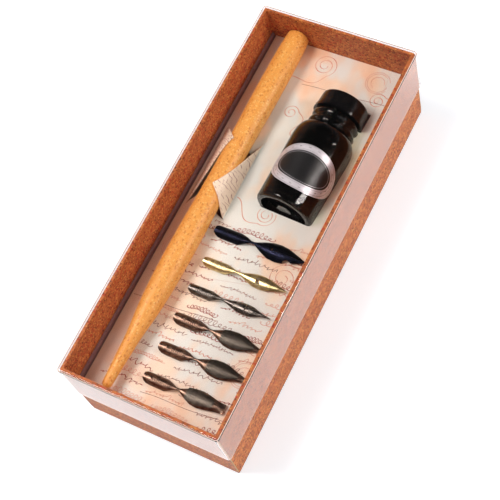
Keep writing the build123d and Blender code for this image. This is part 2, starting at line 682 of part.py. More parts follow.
def reservoir(name):
    """Grey plate, flatter than the nib, that lies along the crest of the nib's body."""
    spec = RESERVOIRS[name]
    nib_spec = NIBS[spec["nib"]]
    top = SHANK_HEIGHT + NIB_SHEET + RESERVOIR_GAP + RESERVOIR_SHEET
    body, length = nib_spec["body"], nib_spec["length"]
    start, end = spec["start"], spec["end"]
    arch = nib_spec["arch"] * RESERVOIR_FLATNESS
    shares = (
        (0.0, body * 0.66, top, arch * 0.55),
        (0.12, body * 0.78, top, arch * 0.75),
        (0.40, body * 0.88, top, arch),
        (0.70, body * 0.66, top - 0.1, arch * 0.75),
        (1.0, max(body * 0.16, nib_spec["point"] * 0.7), top - 0.28, arch * 0.22),
    )
    sections = []
    for share, width, crest, rise in shares:
        x = (start + (end - start) * share) * length
        sections.append(arch_band(x, width, crest, rise, RESERVOIR_SHEET))
    plate = loft(sections, ruled=True)
    return Pos(nib_spec["x"], nib_spec["y"], INSERT_TOP_Z + NIB_SEAT_GAP) * plate


def parts():
    """Every node's name with the function that builds it."""
    made = {
        "tray_board": tray_board(),
        "corner_stays": stays(),
        "wrap_paper": wrap_paper(),
        "base_paper": base_paper(),
        "side_strip": side_strip(),
        "platform_card": platform_card(),
        "printed_sheet": printed_sheet(),
        "tongue_left": tongue(-1, TONGUE_CREASE_LEFT, TONGUE_LEFT_REACH, TONGUE_LEFT_Y, SLIT),
        "tongue_right": tongue(1, TONGUE_CREASE_RIGHT, TONGUE_RIGHT_REACH, TONGUE_RIGHT_Y, SLIT),
        "lid": lid(),
        "pen_shaft": pen_shaft(),
        "pen_socket": pen_socket(),
        "pen_clip": pen_clip(),
        "bottle_glass": bottle_glass(),
        "ink": ink(),
        "bottle_label": label(),
        "cap_shell": cap_shell(),
        "cap_liner": cap_liner(),
    }
    for name in NIBS:
        made[name] = nib(name)
    for name in RESERVOIRS:
        made[name] = reservoir(name)
    return made


os.makedirs("parts", exist_ok=True)
for node, shape in parts().items():
    export_step(shape, os.path.join("parts", node + ".step"))
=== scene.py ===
import math

import bpy
import numpy as np
from mathutils import Matrix, Vector


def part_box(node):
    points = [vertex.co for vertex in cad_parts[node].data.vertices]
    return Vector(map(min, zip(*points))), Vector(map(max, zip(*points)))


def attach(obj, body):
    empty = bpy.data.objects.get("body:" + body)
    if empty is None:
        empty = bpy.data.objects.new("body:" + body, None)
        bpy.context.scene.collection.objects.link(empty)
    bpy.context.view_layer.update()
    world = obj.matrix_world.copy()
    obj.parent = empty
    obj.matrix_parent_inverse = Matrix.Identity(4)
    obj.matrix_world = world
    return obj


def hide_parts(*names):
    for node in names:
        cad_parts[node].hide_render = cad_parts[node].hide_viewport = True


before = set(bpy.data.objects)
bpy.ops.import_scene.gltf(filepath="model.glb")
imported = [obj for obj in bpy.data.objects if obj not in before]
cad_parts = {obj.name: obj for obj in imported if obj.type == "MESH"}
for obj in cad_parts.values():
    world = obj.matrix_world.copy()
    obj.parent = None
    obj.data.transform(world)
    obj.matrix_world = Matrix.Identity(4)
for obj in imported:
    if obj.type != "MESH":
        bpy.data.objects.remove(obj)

bl_info = {
    "name": "Calligraphy Set Box",
    "version": (1, 0, 0),
    "blender": (4, 5, 0),
    "location": "3D View > Sidebar > Set Box",
    "description": "Dresses the calligraphy set box: paper, clear lid, printed card, pen, ink bottle and nibs",
    "category": "Object",
}

MM = 0.001

# Corners of the printed sheet and the lid in metres; places and sizes below them in millimetres.
SHEET_LOW, SHEET_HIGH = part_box("printed_sheet")
LID_LOW, LID_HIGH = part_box("lid")
PRINT_Z = SHEET_HIGH.z / MM
SHEET_MARGIN = 0.6

# Distances along the bottle run from its centre towards the mouth.
BOTTLE_CENTRE = (11.9, 36.0, 30.0)
BOTTLE_TURN = math.radians(-2.5)
BOTTLE_AXIS = np.array([-math.sin(BOTTLE_TURN), math.cos(BOTTLE_TURN), 0.0])
BOTTLE_BORE = 5.2
BOTTLE_MOUTH = 24.9
CAVITY_RADIUS, CAVITY_FLOOR = 11.3, -20.0
INK_END = 13.1
LABEL_ROLL = math.radians(15.0)
LABEL_RADIUS = 12.72
LABEL_ALONG = -10.7

# What the strokes stay clear of: the bottle's window and the hole that the tongues leave.
WINDOW_HALF_WIDTH = 13.6
WINDOW_ENDS = (-28.0, 29.8)
TONGUE_HOLE_X = (-30.9, -11.3)
TONGUE_HOLE_Y = (-2.4, 38.2)

# The lid's pale fold lines, partly the sheet's own whitening at its folds and partly a painted highlight along the
# lid's edges: where they run inside its outline, and the radius of each kind.
LID_CORNER = 1.2
TOP_DEPTH, HEM_DEPTH = 0.26, 0.25
HEM_HEIGHT = 0.2
POST_ENDS = (0.4, 0.7)
TOP_FOLD, HEM_FOLD, POST_FOLD = 0.15, 0.12, 0.13

# Rows of strokes start at the front and run between two ends; each ink lies a step above the last.
FIRST_ROW = -83.0
ROW_END = 29.0
ROW_POINTS = 7
INK_STEP = 0.01
# start, turn, share of the swash radius, coils, sway of the lead
SWASHES = (
    ((-2.0, 75.0), 0.5, 0.8, 2.2, 0.35),
    ((26.0, 74.0), 2.4, 0.55, 1.7, 0.3),
    ((2.0, 2.0), -0.35, 0.7, 2.4, 0.4),
    ((-5.0, 55.0), 1.9, 0.5, 1.6, 0.5),
    ((24.0, -10.0), 2.9, 0.9, 2.0, 0.25),
)
# centre and radius of each rosette; share of that radius and the arc's ends in degrees
ROSETTES = (((20.0, 79.5), 5.2), ((-24.0, -20.0), 6.0), ((26.5, -58.0), 5.6))
ROSETTE_ARCS = ((1.0, 20, 330), (0.86, 50, 350), (0.55, 0, 250))
# height on the card, left end, right end
LONG_LINES = ((-44.6, -30.5, 6.0), (68.0, -10.0, 30.0), (-79.8, -8.0, 31.0))

# name, direction, distance and width by height in metres, power property, share of it, tone
LAMPS = (
    ("key lamp", (-0.42, -0.16, 0.9), 0.95, (0.36, 0.36), "key", 1.0, (1.0, 0.985, 0.96)),
    ("fill lamp", (0.75, -0.6, 0.5), 0.95, (1.0, 1.0), "fill", 1.0, (0.97, 0.985, 1.0)),
    ("window lamp", (0.526, 0.188, 0.339), 0.65, (0.056, 0.32), "window", 1.0, (1.0, 0.99, 0.98)),
    ("glint lamp", (0.526, 0.29, 0.339), 0.68, (0.022, 0.1), "window", 0.35, (1.0, 0.99, 0.98)),
)
SENSOR_WIDTH = 36.0
CLIP_ENDS = (0.01, 20.0)
BRIGHT_PLATE = 1.7
FLOOR_HALF, FLOOR_POINTS, FLOOR_Z = 2500.0, 11, -0.2
FLOOR_GLOW = (0.84, 0.95, 1.0, 1.0)


def tint(red, green, blue):
    """Scene colour of an 8-bit screen colour: the usual screen curve undone channel by channel."""
    shares = [value / 255 for value in (red, green, blue)]
    return tuple(v / 12.92 if v <= 0.04045 else ((v + 0.055) / 1.055) ** 2.4 for v in shares)


def colour(name, description, *screen):
    """A colour property, given here as an 8-bit screen colour."""
    return bpy.props.FloatVectorProperty(
        name=name, description=description, default=tint(*screen), subtype="COLOR", size=3, min=0.0, max=1.0
    )


def number(name, description, value, **kind):
    """A number property."""
    return bpy.props.FloatProperty(name=name, description=description, default=value, **kind)


def length(name, description, value):
    """A length property, kept in metres."""
    return number(name, description, value * MM, unit="LENGTH", subtype="DISTANCE", precision=5)


def angle(name, description, value):
    """An angle property, given here in degrees."""
    return number(name, description, math.radians(value), unit="ROTATION", subtype="ANGLE")


def share(name, description, value, high=1.0):
    """A number from nought to a limit."""
    return number(name, description, value, min=0.0, max=high)


# Properties
class SetBoxColours(bpy.types.PropertyGroup):
    """Colours that a user would change."""

    wrap: colour("Covering paper", "Main tone of the tray's paper", 204, 119, 64)
    wrap_dark: colour("Covering paper, dark", "Darker cloud in the tray's paper", 140, 62, 34)
    wrap_fleck: colour("Covering paper, fleck", "Pale fleck in the tray's paper", 230, 160, 84)
    board: colour("Pulp board", "Bare board inside the walls", 176, 142, 144)
    strip: colour("Packing strip", "Board strip beside the left wall", 150, 116, 116)
    tape: colour("Corner tape", "Gummed paper tape", 196, 168, 128)
    cream: colour("Print, cream", "Pale ground of the printed sheet", 255, 236, 212)
    peach: colour("Print, peach", "Warm ground of the printed sheet", 252, 208, 172)
    # Brown of the sheet's left edge: partly the print's age, partly painted shade from the left wall.
    aged_and_shaded: colour("Print, aged", "Brown edge of the printed sheet", 206, 150, 112)
    pale: colour("Print, pale", "Bluish white patches of the printed sheet", 240, 244, 238)
    line_red: colour("Print, red line", "Strokes in brown red", 150, 60, 52)
    line_pink: colour("Print, pink line", "Strokes in salmon", 214, 134, 112)
    line_brown: colour("Print, brown line", "Strokes in thin brown", 120, 74, 62)
    card: colour("Card", "White core of the card", 244, 234, 216)
    lid: colour("Lid", "Tint of the clear sheet", 252, 248, 247)
    # Lid folds: partly the sheet's own whitening, partly a painted highlight along the lid's edges.
    fold: colour("Lid folds", "Whitened folds of the clear sheet", 250, 222, 208)
    wood: colour("Pen wood", "Main tone of the holder", 248, 176, 82)
    wood_dark: colour("Pen pores", "Darker grain of the holder", 214, 128, 42)
    steel: colour("Socket steel", "Tube in the holder", 96, 84, 70)
    glass: colour("Glass", "Tint of the bottle's glass", 36, 37, 34)
    ink: colour("Ink", "Black ink", 4, 4, 6)
    cap: colour("Cap", "Black screw cap", 5, 5, 6)
    silver: colour("Label silver", "Ring of the label", 232, 230, 236)
    label_black: colour("Label black", "Middle of the label", 22, 22, 24)
    blued: colour("Blued nib", "Blue-black steel", 24, 26, 40)
    gilt: colour("Gilt nib", "Gilt steel", 222, 204, 152)
    dark: colour("Dark nib", "Dark polished steel", 112, 106, 100)
    bronze: colour("Bronze nib", "Bronze lacquer", 122, 98, 84)
    plate: colour("Reservoir", "Dark grey plate", 70, 64, 58)


class SetBoxSizes(bpy.types.PropertyGroup):
    """Sizes that a user would change."""

    print_lift: length("Print lift", "How far the printed strokes stand off the paper", 0.02)
    broad: length("Broad stroke", "Width of the printed strokes at their widest", 0.4)
    hair: length("Hair stroke", "Width of the thin printed strokes", 0.2)
    rows: bpy.props.IntProperty(name="Rows", description="Rows of practice strokes", default=20, min=1, max=40)
    row_step: length("Row step", "Distance between rows of strokes", 4.2)
    loop_height: length("Loop height", "Half height of a practice loop", 1.0)
    swash_radius: length("Swash radius", "Radius of the large flourishes", 11.0)
    label_half_width: length("Label half width", "Half of the label's oval, across", 16.0)
    label_half_length: length("Label half length", "Half of the label's oval, along", 9.8)
    label_ring: length("Label ring", "Width of the label's ring", 3.0)


class SetBoxStage(bpy.types.PropertyGroup):
    """Camera, lamps and floor."""

    azimuth: angle("Azimuth", "Camera's turn about the vertical", 47.24)
    elevation: angle("Elevation", "Camera's height above the floor", 61.97)
    roll: angle("Roll", "Camera's turn about its own line of sight", -22.74)
    distance: length("Distance", "From the camera to its target", 543.1)
    target_x: length("Target", "Camera's target on the X axis", -5.9)
    lens: number("Lens", "Focal length in millimetres", 92.66, min=10.0, max=300.0)
    key: share("Key lamp", "Power of the soft lamp at the left", 6.1, 100.0)
    fill: share("Fill lamp", "Power of the wide lamp at the front", 2.4, 100.0)
    window: share("Window lamp", "Power of the narrow lamp at the right", 1.35, 100.0)
    world: share("Surroundings", "Strength of the even light", 0.34, 2.0)
    shine: share("Reflected horizon", "Brightness that gloss sees near the horizon", 0.34, 2.0)
    ceiling: share("Reflected ceiling", "Brightness that gloss sees overhead", 0.03, 2.0)
    floor: colour("Floor", "Pale floor", 240, 240, 243)
    lift: share("Floor lift", "Brightness added to the floor for the camera", 0.37)


# Node helpers
def add(tree, kind, ins=None, **props):
    """Add a node, set its properties, and set or link its inputs. A plain colour gets its fourth channel."""
    node = tree.nodes.new("ShaderNode" + kind)
    for key, value in props.items():
        setattr(node, key, value)
    for key, value in (ins or {}).items():
        socket = node.inputs[key]
        if isinstance(value, bpy.types.NodeSocket):
            tree.links.new(value, socket)
        elif hasattr(value, "__len__") and len(value) == 3 and len(socket.default_value) == 4:
            socket.default_value = (*value, 1.0)
        else:
            socket.default_value = value
    return node


def calc(tree, operation, first, second=0.0, third=0.0, clamp=False):
    """Result of a Math node."""
    ins = {0: first, 1: second, 2: third}
    return add(tree, "Math", ins, operation=operation, use_clamp=clamp).outputs[0]


def times(tree, first, second):
    """Product of two values."""
    return calc(tree, "MULTIPLY", first, second)


def plus(tree, first, second):
    """Sum of two values."""
    return calc(tree, "ADD", first, second)


def less(tree, first, second):
    """First value less the second."""
    return calc(tree, "SUBTRACT", first, second)


def scaled(tree, value, factor, start):
    """Value times a factor, plus a start."""
    return calc(tree, "MULTIPLY_ADD", value, factor, start)


def mix(tree, amount, first, second, mode="MIX"):
    """Two colours mixed by an amount."""
    ins = {0: amount, 6: first, 7: second}
    return add(tree, "Mix", ins, data_type="RGBA", blend_type=mode).outputs[2]


def tinge(tree, ground, mask, strength, over):
    """A ground with another colour laid over it where the mask says, at most at the given strength."""
    return mix(tree, times(tree, mask, strength), ground, over)


def toned(tree, ground, tone):
    """A colour multiplied by a grey tone."""
    grey = add(tree, "CombineColor", {0: tone, 1: tone, 2: tone}).outputs[0]
    return mix(tree, 1.0, ground, grey, "MULTIPLY")


def remap(tree, value, low, high, to_low=0.0, to_high=1.0, kind="LINEAR"):
    """A value carried from one range to another, and held at its ends."""
    ins = {0: value, 1: low, 2: high, 3: to_low, 4: to_high}
    return add(tree, "MapRange", ins, interpolation_type=kind).outputs[0]


def above(tree, value, limit, soft):
    """Mask that rises from 0 to 1 around a limit."""
    return remap(tree, value, limit - soft, limit + soft, kind="SMOOTHSTEP")


def band(tree, value, low, high, soft):
    """Mask that is 1 between two values, with soft ends."""
    return calc(tree, "SUBTRACT", above(tree, value, low, soft), above(tree, value, high, soft), clamp=True)


def line(tree, value, middle, half, soft):
    """Mask of a line where a value passes its middle, with soft edges."""
    away = calc(tree, "ABSOLUTE", less(tree, value, middle))
    return band(tree, away, -1.0, half, soft)


def axes(tree, vector):
    """X, Y and Z of a vector."""
    return add(tree, "SeparateXYZ", {0: vector}).outputs


def local(tree, centre=(0, 0, 0), turn=(0, 0, 0), stretch=(1, 1, 1)):
    """Object coordinates in millimetres, centred, turned and stretched."""
    coords = add(tree, "TexCoord").outputs["Object"]
    place, size = tuple(c * MM for c in centre), tuple(s * MM for s in stretch)
    ins = {"Vector": coords, "Location": place, "Rotation": turn, "Scale": size}
    return add(tree, "Mapping", ins, vector_type="TEXTURE").outputs[0]


def noise(tree, vector, scale, detail=2.0, rough=0.5):
    """Noise value at a scale given in features per millimetre."""
    ins = {"Vector": vector, "Scale": scale, "Detail": detail, "Roughness": rough}
    return add(tree, "TexNoise", ins).outputs["Fac"]


def ray_is(tree, *kinds):
    """1 for a ray of any of these kinds."""
    path = add(tree, "LightPath").outputs
    found = path[kinds[0]]
    for kind in kinds[1:]:
        found = calc(tree, "MAXIMUM", found, path[kind])
    return found


def group(name, ins, outs):
    """Make a function that fills a tree into one that gives its shader node group, built once.

    An input without a start value is a vector; all else is a number.
    """

    def wrap(fill):
        def maker():
            if name in bpy.data.node_groups:
                return bpy.data.node_groups[name]
            tree = bpy.data.node_groups.new(name, "ShaderNodeTree")
            for label, value in ins.items():
                kind = "NodeSocketVector" if value is None else "NodeSocketFloat"
                socket = tree.interface.new_socket(name=label, in_out="INPUT", socket_type=kind)
                if value is not None:
                    socket.default_value = value
            for label in outs:
                tree.interface.new_socket(name=label, in_out="OUTPUT", socket_type="NodeSocketFloat")
            entry = tree.nodes.new("NodeGroupInput")
            leave = tree.nodes.new("NodeGroupOutput")
            for label, socket in zip(outs, fill(tree, *entry.outputs[: len(ins)])):
                tree.links.new(socket, leave.inputs[label])
            return tree

        return maker

    return wrap


def use(tree, maker, **ins):
    """Place a node group and return its outputs."""
    return add(tree, "Group", ins, node_tree=maker()).outputs


# Shared effects
@group("paper fibre", {"Vector": None, "Scale": 1.0}, ("Tone", "Height"))
def paper_fibre(tree, where, scale):
    """Cloudy tone and fine felt height of paper and card."""
    cloud = noise(tree, where, times(tree, scale, 0.16), 3.0, 0.6)
    felt = noise(tree, where, times(tree, scale, 4.0), 3.0, 0.7)
    return plus(tree, times(tree, cloud, 0.7), times(tree, felt, 0.3)), felt


@group("flecks", {"Vector": None, "Scale": 1.0, "Share": 0.3}, ("Mask",))
def flecks(tree, where, scale, filled):
    """Scattered flecks: cells of which only a share is filled, each with a ragged edge."""
    wobble = add(tree, "TexNoise", {"Vector": where, "Scale": scale, "Detail": 2.0}).outputs["Color"]
    reach = calc(tree, "DIVIDE", 0.7, scale)
    bend = add(tree, "VectorMath", {0: wobble, "Scale": reach}, operation="SCALE").outputs[0]
    bent = add(tree, "VectorMath", {0: where, 1: bend}, operation="ADD").outputs[0]
    cells = add(tree, "TexVoronoi", {"Vector": bent, "Scale": scale}).outputs
    lot = add(tree, "SeparateColor", {0: cells["Color"]}).outputs[0]
    chosen = calc(tree, "LESS_THAN", lot, filled)
    return (times(tree, chosen, remap(tree, cells["Distance"], 0.52, 0.34, kind="SMOOTHSTEP")),)


@group("handling", {"Vector": None, "Scale": 1.0, "Amount": 0.1}, ("Rough", "Height"))
def handling(tree, where, scale, amount):
    """Smudges and hairline scuffs of a smooth surface: what they add to roughness, and a height."""
    smear = noise(tree, where, times(tree, scale, 0.12), 3.0, 0.6)
    wave = {"Vector": where, "Scale": times(tree, scale, 0.9), "Distortion": 9.0, "Detail": 3.0}
    hairs = add(tree, "TexWave", wave, bands_direction="DIAGONAL").outputs["Fac"]
    scuff = calc(tree, "GREATER_THAN", hairs, 0.985)
    return times(tree, plus(tree, smear, times(tree, scuff, 0.5)), amount), smear


@group("long grain", {"Vector": None, "Scale": 1.0}, ("Tone", "Height"))
def long_grain(tree, where, scale):
    """Fine lines along the stretched axis of the given coordinates, as drawn metal or turned wood has."""
    fine = noise(tree, where, times(tree, scale, 3.0), 4.0, 0.65)
    wide = noise(tree, where, scale)
    return plus(tree, times(tree, fine, 0.55), times(tree, wide, 0.45)), fine


@group("written rows", {"Along": 0.0, "Across": 0.0}, ("Mask",))
def written_rows(tree, along, across):
    """Rows of thin wavy lines that come and go, at a pitch of 1.7 mm: the height across the rows plus
    two sines of the distance along them."""
    slow = times(tree, calc(tree, "SINE", times(tree, along, 1.7)), 0.5)
    quick = times(tree, calc(tree, "SINE", times(tree, along, 4.1)), 0.26)
    height = plus(tree, across, plus(tree, slow, quick))
    place = calc(tree, "ABSOLUTE", less(tree, calc(tree, "PINGPONG", height, 1.7), 0.85))
    ink = less(tree, 1.0, above(tree, place, 0.13, 0.06))
    spot = add(tree, "CombineXYZ", {0: along, 1: times(tree, across, 2.0)}).outputs[0]
    return (times(tree, ink, above(tree, noise(tree, spot, 0.34, 1.0), 0.47, 0.04)),)


@group("stamping", {"Along": 0.0, "Across": 0.0}, ("Mask",))
def stamping(tree, along, across):
    """Generic stamped marks of a nib's shank: two rows of short bars between two fine border lines.

    Along is the distance from the shank's end and across the distance from its middle line.
    """
    side = calc(tree, "ABSOLUTE", across)
    bars = above(tree, calc(tree, "COSINE", times(tree, along, 7.4)), 0.15, 0.5)
    rows = times(tree, bars, band(tree, side, 0.22, 0.72, 0.08))
    borders = times(tree, band(tree, side, 1.0, 1.14, 0.05), 0.6)
    marks = calc(tree, "MAXIMUM", rows, borders)
    return (times(tree, marks, band(tree, along, 3.4, 12.6, 0.3)),)


# Materials
def finish(name, **sockets):
    """A material with one Principled shader, whose named sockets are set plainly, and its tree."""
    material = bpy.data.materials.new(name)
    material.use_nodes = True
    shader = material.node_tree.nodes["Principled BSDF"]
    for key, value in sockets.items():
        shader.inputs[key.replace("_", " ")].default_value = value
    return material, material.node_tree


def feed(material, height=None, depth=0.0, **sockets):
    """Link values to the shader's named sockets, and a height to its normal by a bump in millimetres."""
    tree = material.node_tree
    shader = tree.nodes["Principled BSDF"]
    for key, value in sockets.items():
        tree.links.new(value, shader.inputs[key.replace("_", " ")])
    if height is not None:
        node = add(tree, "Bump", {"Height": height, "Distance": depth * MM, "Strength": 1.0})
        tree.links.new(node.outputs[0], shader.inputs["Normal"])
    return material


def dress(material, *names):
    """Give CAD nodes a material."""
    for name in names:
        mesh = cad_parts[name].data
        mesh.materials.clear()
        mesh.materials.append(material)


def darker(ground, factor):
    """A colour times a factor."""
    return tuple(factor * value for value in ground)


def covering_paper(name, c):
    """Satin paper printed with a cloudy red-brown ground, dark clouds, and rusty, dark and pale flecks."""
    material, tree = finish(name, Roughness=0.5, Specular_IOR_Level=0.3)
    where = local(tree)
    fibre = use(tree, paper_fibre, Vector=where, Scale=1.6)
    cloud = above(tree, noise(tree, where, 0.3, 5.0, 0.7), 0.5, 0.16)
    ground = tinge(tree, c.wrap, cloud, 0.55, c.wrap_dark)
    # shift, flecks per millimetre, share of filled cells, strength, colour
    for shift, scale, filled, strength, fleck in (
        ((3.3, 1.7, 9.1), 0.85, 0.36, 0.75, tint(176, 40, 24)),
        ((7.3, 4.1, 2.2), 1.1, 0.34, 0.8, tint(84, 36, 20)),
        ((0, 0, 0), 1.1, 0.26, 0.7, c.wrap_fleck),
    ):
        mask = use(tree, flecks, Vector=local(tree, shift), Scale=scale, Share=filled)["Mask"]
        ground = tinge(tree, ground, mask, strength, fleck)
    shade = toned(tree, ground, remap(tree, fibre["Tone"], 0.0, 1.0, 0.86, 1.12))
    gloss = scaled(tree, fibre["Height"], 0.25, 0.4)
    return feed(material, fibre["Height"], 0.05, Base_Color=shade, Roughness=gloss)


def pulp_board(name, ground, speck, scale=1.0):
    """Matt board with long fibres and dark specks."""
    material, tree = finish(name, Roughness=0.85)
    where = local(tree)
    fibre = use(tree, paper_fibre, Vector=where, Scale=2.0 * scale)
    specks = use(tree, flecks, Vector=where, Scale=1.5 * scale, Share=0.12)["Mask"]
    tone = remap(tree, fibre["Tone"], 0.0, 1.0, 0.0, 0.45)
    shade = tinge(tree, mix(tree, tone, ground, darker(ground, 0.72)), specks, 0.4, speck)
    gloss = scaled(tree, fibre["Height"], 0.2, 0.72)
    return feed(material, fibre["Height"], 0.08, Base_Color=shade, Roughness=gloss)


def printed_paper(name, c):
    """Print of an old parchment: cream and peach clouds, pale patches, a left edge browned partly by age and
    partly by painted shade from the left wall, two fold lines, and written rows on what stands up from the
    sheet, where the paper is also painted plain cream as painted light."""
    material, tree = finish(name, Roughness=0.55, Coat_Weight=0.08, Coat_Roughness=0.4)
    where = local(tree)
    x, y, z = axes(tree, where)
    fibre = use(tree, paper_fibre, Vector=where, Scale=1.2)
    warm = noise(tree, local(tree, stretch=(1.0, 2.2, 1.0)), 0.045, 3.0, 0.55)
    cool = noise(tree, local(tree, (41, 17, 5), stretch=(1.0, 1.7, 1.0)), 0.05, 3.0, 0.5)
    ground = mix(tree, above(tree, warm, 0.53, 0.14), c.cream, c.peach)
    ground = tinge(tree, ground, above(tree, cool, 0.495, 0.08), 0.92, c.pale)
    # Painted shade: the sheet browns towards the left wall, partly from the print's age and partly from the wall's
    # shadow painted in.
    edge = above(tree, scaled(tree, fibre["Tone"], 9.0, times(tree, x, -1.0)), 27.0, 9.0)
    ground = tinge(tree, ground, edge, 0.55, c.aged_and_shaded)
    across_fold = line(tree, plus(tree, y, times(tree, x, -0.22)), -26.0, 0.16, 0.14)
    ground = tinge(tree, ground, across_fold, 0.22, tint(186, 132, 100))
    long_fold = line(tree, plus(tree, x, times(tree, y, 0.05)), 27.5, 0.12, 0.12)
    ground = tinge(tree, ground, long_fold, 0.25, tint(196, 150, 122))
    along = scaled(tree, y, -0.5, times(tree, x, 0.87))
    across = scaled(tree, y, 0.87, times(tree, x, 0.5))
    rows = use(tree, written_rows, Along=along, Across=across)["Mask"]
    # Painted light: paper standing up from the sheet, the two tongues, is painted plain cream so it looks lit where
    # the lamps leave it shaded; the rows written on it are print.
    raised_lit_and_printed = above(tree, z, PRINT_Z + 0.7, 0.3)
    ground = mix(tree, raised_lit_and_printed, ground, c.cream)
    ground = tinge(tree, ground, rows, times(tree, raised_lit_and_printed, 0.8), c.line_red)
    shade = toned(tree, ground, remap(tree, fibre["Tone"], 0.0, 1.0, 0.92, 1.07))
    return feed(material, fibre["Height"], 0.03, Base_Color=shade)


def stroke_ink(name, ground, fade):
    """Printed line whose strength comes and goes."""
    material, tree = finish(name, Roughness=0.6)
    worn = above(tree, noise(tree, local(tree), 0.5, 3.0, 0.6), 0.5, 0.2)
    return feed(material, Base_Color=tinge(tree, ground, worn, 0.5, fade))


def clear_material(name, ground, ior, shadow):
    """Clear sheet or glass. Lamps shine through it, so what it covers is lit as in daylight."""
    sockets = {"Base_Color": (*ground, 1.0), "Transmission_Weight": 1.0, "IOR": ior, "Roughness": 0.0}
    material, tree = finish(name, **sockets)
    marks = use(tree, handling, Vector=local(tree), Scale=1.0, Amount=0.012)
    feed(material, Roughness=marks["Rough"])
    lit = ray_is(tree, "Is Shadow Ray", "Is Diffuse Ray")
    through = add(tree, "BsdfTransparent", {"Color": shadow}).outputs[0]
    clear = tree.nodes["Principled BSDF"].outputs[0]
    both = add(tree, "MixShader", {0: lit, 1: clear, 2: through}).outputs[0]
    tree.links.new(both, tree.nodes["Material Output"].inputs["Surface"])
    return material


def turned_wood(name, c):
    """Oiled, turned wood with long grain, short pores and fine pale specks."""
    material, tree = finish(name, Roughness=0.5, Coat_Weight=0.15, Coat_Roughness=0.3)
    grain = use(tree, long_grain, Vector=local(tree, stretch=(1.0, 5.0, 1.0)), Scale=1.1)
    pores = use(tree, flecks, Vector=local(tree, stretch=(1.0, 1.5, 1.0)), Scale=1.15, Share=0.36)["Mask"]
    specks = use(tree, flecks, Vector=local(tree, (5.1, 2.3, 8.7)), Scale=1.2, Share=0.34)["Mask"]
    shade = tinge(tree, c.wood, remap(tree, grain["Tone"], 0.32, 0.72), 0.45, c.wood_dark)
    shade = tinge(tree, shade, pores, 0.85, c.wood_dark)
    shade = tinge(tree, shade, specks, 0.7, tint(255, 208, 122))
    height = less(tree, grain["Height"], times(tree, pores, 0.6))
    gloss = scaled(tree, grain["Height"], 0.25, 0.36)
    return feed(material, height, 0.05, Base_Color=shade, Roughness=gloss)


def worked_metal(name, ground, rough, stretch, patina=None, amount=0.25, centre=(0, 0, 0), stamped=False):
    """Pressed steel: fine polishing lines, a little patina, uneven gloss, and stamped marks if asked."""
    material, tree = finish(name, Metallic=1.0, Roughness=rough)
    where = local(tree, centre)
    lines = use(tree, long_grain, Vector=local(tree, centre, stretch=stretch), Scale=3.0)
    marks = use(tree, handling, Vector=where, Scale=2.5, Amount=0.14)
    stain = above(tree, noise(tree, where, 0.55, 4.0, 0.6), 0.52, 0.12)
    shade = tinge(tree, ground, stain, amount, patina or darker(ground, 0.45))
    gloss = plus(tree, marks["Rough"], times(tree, lines["Tone"], 0.12))
    height, depth = lines["Height"], 0.012
    if stamped:
        x, y = axes(tree, where)[:2]
        stamp = use(tree, stamping, Along=x, Across=y)["Mask"]
        shade = tinge(tree, shade, stamp, 0.75, darker(ground, 0.12))
        height, depth = less(tree, times(tree, height, 0.25), stamp), 0.05
        gloss = plus(tree, gloss, times(tree, stamp, 0.25))
    return feed(material, height, depth, Base_Color=shade, Roughness=plus(tree, gloss, rough - 0.08))


def gloss_plastic(name, ground, rough):
    """Moulded gloss plastic with smudges and a hint of orange peel."""
    material, tree = finish(name, Base_Color=(*ground, 1.0), Roughness=rough)
    where = local(tree)
    marks = use(tree, handling, Vector=where, Scale=1.4, Amount=0.08)
    smudge = tuple(0.5 * value + 0.006 for value in ground)
    shade = tinge(tree, ground, marks["Height"], 0.4, smudge)
    gloss = plus(tree, marks["Rough"], rough)
    return feed(material, noise(tree, where, 1.2, 1.0), 0.012, Base_Color=shade, Roughness=gloss)


def label_print(name, c, s):
    """Silver ring with hairlines and a beaded border round a black oval.

    On the bottle's own axes a label point has the arc length radius times angle from the crest, and the
    distance along the axis. Each is divided by the oval's half size, and the root of the sum of their
    squares is 1 on the label's edge.
    """
    material, tree = finish(name, Roughness=0.4, Coat_Weight=0.06, Coat_Roughness=0.2)
    where = local(tree, BOTTLE_CENTRE, (0.0, LABEL_ROLL, BOTTLE_TURN))
    x, y, z = axes(tree, where)
    arc = times(tree, calc(tree, "ARCTAN2", x, z), LABEL_RADIUS)
    along = less(tree, y, LABEL_ALONG)
    half_a, half_b, ring = (size / MM for size in (s.label_half_width, s.label_half_length, s.label_ring))

    def square(value, half):
        return calc(tree, "POWER", calc(tree, "ABSOLUTE", calc(tree, "DIVIDE", value, half)), 2.0)

    def oval(first, second):
        return calc(tree, "SQRT", plus(tree, square(arc, first), square(along, second)))

    inner = oval(half_a - ring, half_b - ring)
    outer = oval(half_a, half_b)
    silver = above(tree, inner, 1.0, 0.012)
    fibre = use(tree, paper_fibre, Vector=where, Scale=1.5)
    brushed = tinge(tree, c.silver, fibre["Tone"], 0.35, tint(176, 172, 184))
    shade = mix(tree, silver, c.label_black, brushed)
    hair = calc(tree, "MAXIMUM", band(tree, outer, 0.955, 0.968, 0.003), band(tree, inner, 1.07, 1.085, 0.004))
    high, wide = calc(tree, "DIVIDE", along, half_b), calc(tree, "DIVIDE", arc, half_a)
    turn = times(tree, calc(tree, "ARCTAN2", high, wide), 22.0)
    beads = above(tree, calc(tree, "COSINE", turn), 0.72, 0.12)
    border = times(tree, beads, band(tree, outer, 0.868, 0.892, 0.006))
    shade = tinge(tree, shade, hair, 0.75, c.label_black)
    shade = tinge(tree, shade, border, 0.8, c.label_black)
    shade = tinge(tree, shade, band(tree, inner, 0.90, 0.915, 0.004), 0.7, c.silver)
    gloss = scaled(tree, fibre["Height"], 0.2, 0.22)
    return feed(material, fibre["Height"], 0.02, Base_Color=shade, Metallic=times(tree, silver, 0.35), Roughness=gloss)


